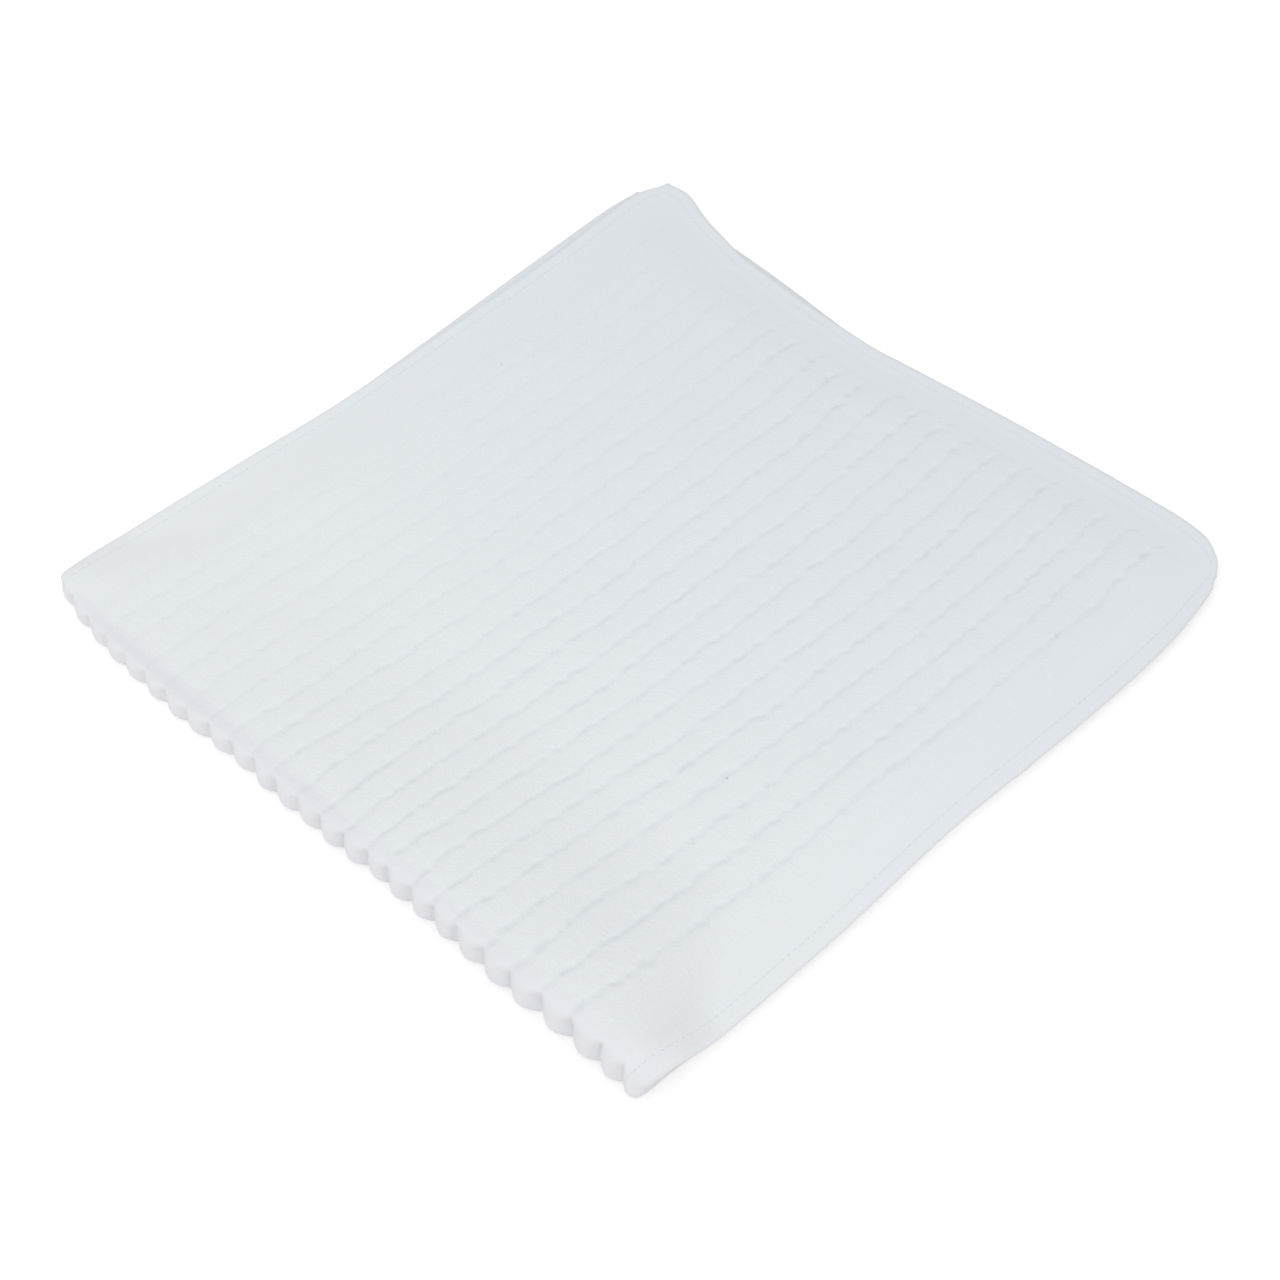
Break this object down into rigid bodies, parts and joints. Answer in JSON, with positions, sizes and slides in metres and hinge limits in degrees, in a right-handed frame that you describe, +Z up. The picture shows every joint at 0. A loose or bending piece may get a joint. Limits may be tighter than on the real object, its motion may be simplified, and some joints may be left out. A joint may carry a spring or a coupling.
{
  "type": "dishcloth",
  "caption": "Ribbed cotton terry dishcloth for wiping and drying, folded over, with plain borders, turned hems and sewn seams.",
  "frame": {"origin": "on the surface that the cloth lies on, under the middle of its bounding box", "axes": "+Z up through the leaves, +Y along the ribs from the fold to the end hems, +X across the ribs towards the fold's higher end"},
  "size_m": [0.3118, 0.3282, 0.0177],
  "materials": {
    "ribbed_terry": "matt cotton terry, cool white",
    "plain_weave": "matt plain-woven cotton border, cool white",
    "thread": "white cotton sewing thread with a slight sheen"
  },
  "bodies": {
    "lower_leaf": {"lower_ribbed_field": "ribbed_terry", "lower_fold_half": "ribbed_terry", "lower_left_hem": "plain_weave", "lower_right_hem": "plain_weave", "lower_end_hem": "plain_weave", "lower_left_needle_thread": "thread", "lower_right_needle_thread": "thread", "lower_end_needle_thread": "thread", "lower_left_bobbin_thread": "thread", "lower_right_bobbin_thread": "thread", "lower_end_bobbin_thread": "thread"},
    "upper_leaf": {"upper_ribbed_field": "ribbed_terry", "upper_fold_half": "ribbed_terry", "upper_left_hem": "plain_weave", "upper_right_hem": "plain_weave", "upper_end_hem": "plain_weave", "upper_left_needle_thread": "thread", "upper_right_needle_thread": "thread", "upper_end_needle_thread": "thread", "upper_left_bobbin_thread": "thread", "upper_right_bobbin_thread": "thread", "upper_end_bobbin_thread": "thread"}
  },
  "joints": [
    {"name": "unfold", "type": "hinge", "parent": "lower_leaf", "child": "upper_leaf", "pos_m": [0.00034, -0.16161, 0.00685], "axis": [0.9994, 0.03, 0.0143], "range_deg": [0, 180]}
  ]
}
